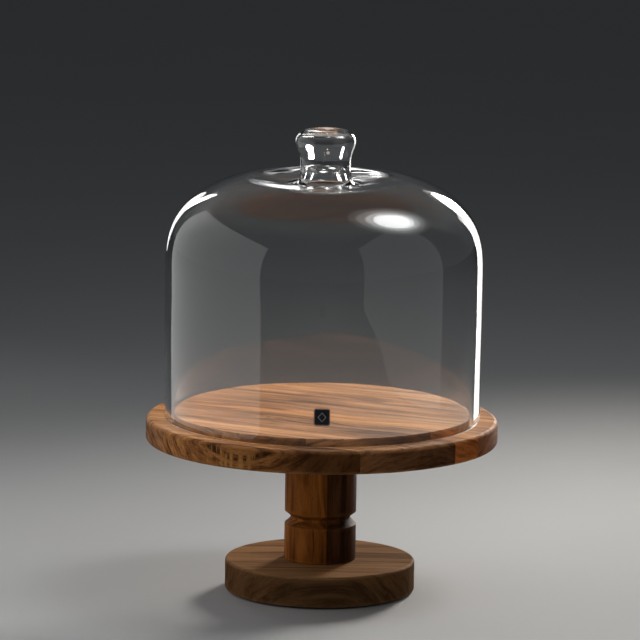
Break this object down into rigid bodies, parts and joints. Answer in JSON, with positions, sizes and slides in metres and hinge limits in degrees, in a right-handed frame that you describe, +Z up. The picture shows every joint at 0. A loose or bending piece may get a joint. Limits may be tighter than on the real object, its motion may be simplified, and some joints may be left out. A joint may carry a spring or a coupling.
{
  "type": "glass cake dome on pedestal stand",
  "caption": "Clear blown-glass bell dome with a fused glass knob, resting on the ledge of a round turned-wood pedestal stand.",
  "frame": {"origin": "centre of the round base, on the surface that the stand rests on", "axes": "+Z up along the axis of the column and the dome; -Y is the front, where the glass carries its small label; +X is to the right seen from the front"},
  "size_m": [0.2998, 0.2998, 0.398],
  "materials": {
    "clear_glass": "clear, fire-polished",
    "plate_wood": "oiled satin, edge-glued acacia staves",
    "column_wood": "oiled satin, grain upright",
    "base_wood": "oiled satin, dry grey-brown",
    "dowel_wood": "raw beech",
    "screw_steel": "zinc plated",
    "insert_brass": "plain turned",
    "pad_rubber": "matt",
    "label_black": "satin black"
  },
  "bodies": {
    "stand": {"plate_stave_1": "plate_wood", "plate_stave_2": "plate_wood", "plate_stave_3": "plate_wood", "plate_stave_4": "plate_wood", "plate_stave_5": "plate_wood", "plate_stave_6": "plate_wood", "column_left_block": "column_wood", "column_right_block": "column_wood", "base_disc": "base_wood", "dowel_left": "dowel_wood", "dowel_right": "dowel_wood", "base_screw": "screw_steel", "base_washer": "screw_steel", "column_stud": "screw_steel", "plate_insert": "insert_brass", "pad_1": "pad_rubber", "pad_2": "pad_rubber", "pad_3": "pad_rubber", "pad_4": "pad_rubber"},
    "dome": {"dome_shell": "clear_glass", "dome_knob": "clear_glass", "front_label": "label_black"}
  },
  "joints": [
    {"name": "dome_lift", "type": "slide", "parent": "stand", "child": "dome", "axis": [0, 0, 1], "range_m": [0, 0.26]}
  ]
}
